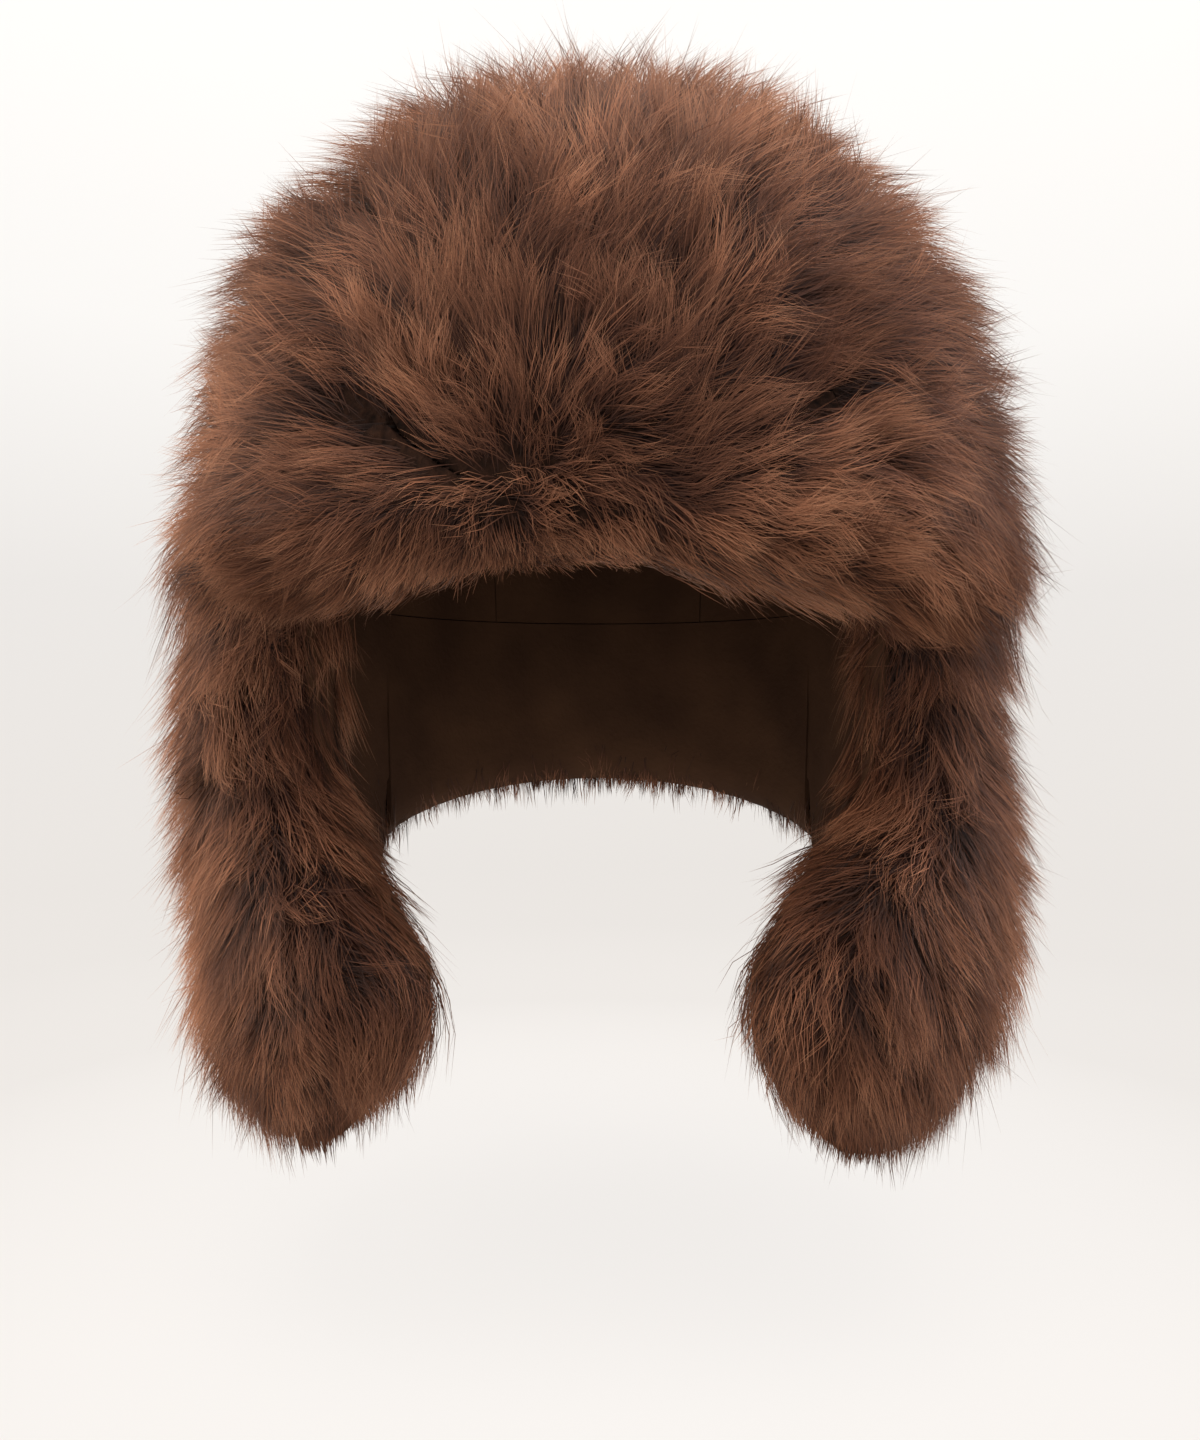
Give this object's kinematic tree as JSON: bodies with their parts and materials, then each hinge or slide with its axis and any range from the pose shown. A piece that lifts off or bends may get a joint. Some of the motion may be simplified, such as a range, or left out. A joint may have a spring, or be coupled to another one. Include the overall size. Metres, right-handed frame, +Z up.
{
  "type": "aviator hat",
  "caption": "Deep-fur aviator hat with a domed crown, a forehead band, hanging ear flaps and a neck flap, held in its worn form.",
  "frame": {"origin": "centre of the head opening, level with the rim of the crown", "axes": "+Z up through the crown, -Y out of the face opening, +X to the right as seen from the front"},
  "size_m": [0.2792, 0.2717, 0.3314],
  "materials": {
    "crown_fur": "long brown pile, soft sheen",
    "band_fur": "long dark brown pile",
    "flap_fur": "long brown pile"
  },
  "bodies": {
    "root": {"crown_centre": "crown_fur", "crown_side_left": "crown_fur", "crown_side_right": "crown_fur", "forehead_band": "band_fur", "ear_flap_left": "flap_fur", "ear_flap_right": "flap_fur", "neck_flap": "flap_fur"}
  },
  "joints": []
}
